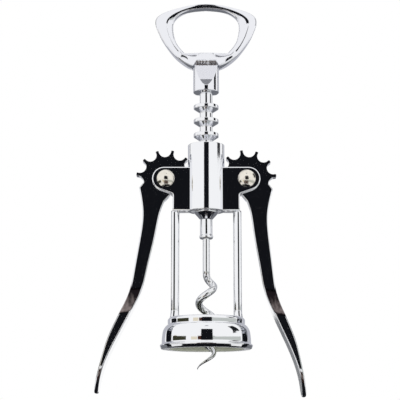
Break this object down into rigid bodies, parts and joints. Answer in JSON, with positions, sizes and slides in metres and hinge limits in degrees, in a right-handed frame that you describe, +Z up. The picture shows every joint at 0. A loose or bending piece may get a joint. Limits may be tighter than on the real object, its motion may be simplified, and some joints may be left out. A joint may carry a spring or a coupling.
{
  "type": "wing corkscrew",
  "caption": "Chromed wing corkscrew: bell foot, geared levers on a slotted barrel, ringed spindle, coiled worm and a looped handle with a cap lifter.",
  "frame": {"origin": "centre of the bell's mouth, in the plane of the rim, where the bottle's lip enters", "axes": "+Z up along the spindle, +X towards the right lever, -Y is the front with the larger rivet heads"},
  "size_m": [0.0918, 0.0412, 0.1799],
  "materials": {
    "cast_chrome": "bright chrome plate on zinc casting",
    "lever_chrome": "bright chrome plate on zinc casting, tumbled faces",
    "rivet_nickel": "nickel plated steel, satin",
    "worm_steel": "plated spring steel wire",
    "liner_plastic": "moulded, matt grey"
  },
  "bodies": {
    "frame": {"frame": "cast_chrome", "bell": "cast_chrome", "bell_liner": "liner_plastic", "rivet_left": "rivet_nickel", "rivet_right": "rivet_nickel"},
    "spindle": {"spindle_rack": "cast_chrome"},
    "screw": {"handle": "cast_chrome", "worm_collar": "cast_chrome", "worm": "worm_steel"},
    "lever_left": {"lever_left": "lever_chrome"},
    "lever_right": {"lever_right": "lever_chrome"}
  },
  "joints": [
    {"name": "spindle_slide", "type": "slide", "parent": "frame", "child": "spindle", "axis": [0, 0, -1], "range_m": [0, 0.024]},
    {"name": "handle_turn", "type": "hinge", "parent": "spindle", "child": "screw", "pos_m": [0, 0, 0.1166], "axis": [0, 0, -1], "continuous": true},
    {"name": "lever_left_pivot", "type": "hinge", "parent": "frame", "child": "lever_left", "pos_m": [-0.0182, 0, 0.076], "axis": [0, 1, 0], "range_deg": [0, 113]},
    {"name": "lever_right_pivot", "type": "hinge", "parent": "frame", "child": "lever_right", "pos_m": [0.0182, 0, 0.076], "axis": [0, -1, 0], "range_deg": [0, 113]}
  ],
  "couplings": [
    {"joint": "lever_left_pivot", "follows": "spindle_slide", "rad_per_m": 81.977},
    {"joint": "lever_right_pivot", "follows": "spindle_slide", "rad_per_m": 81.977}
  ]
}
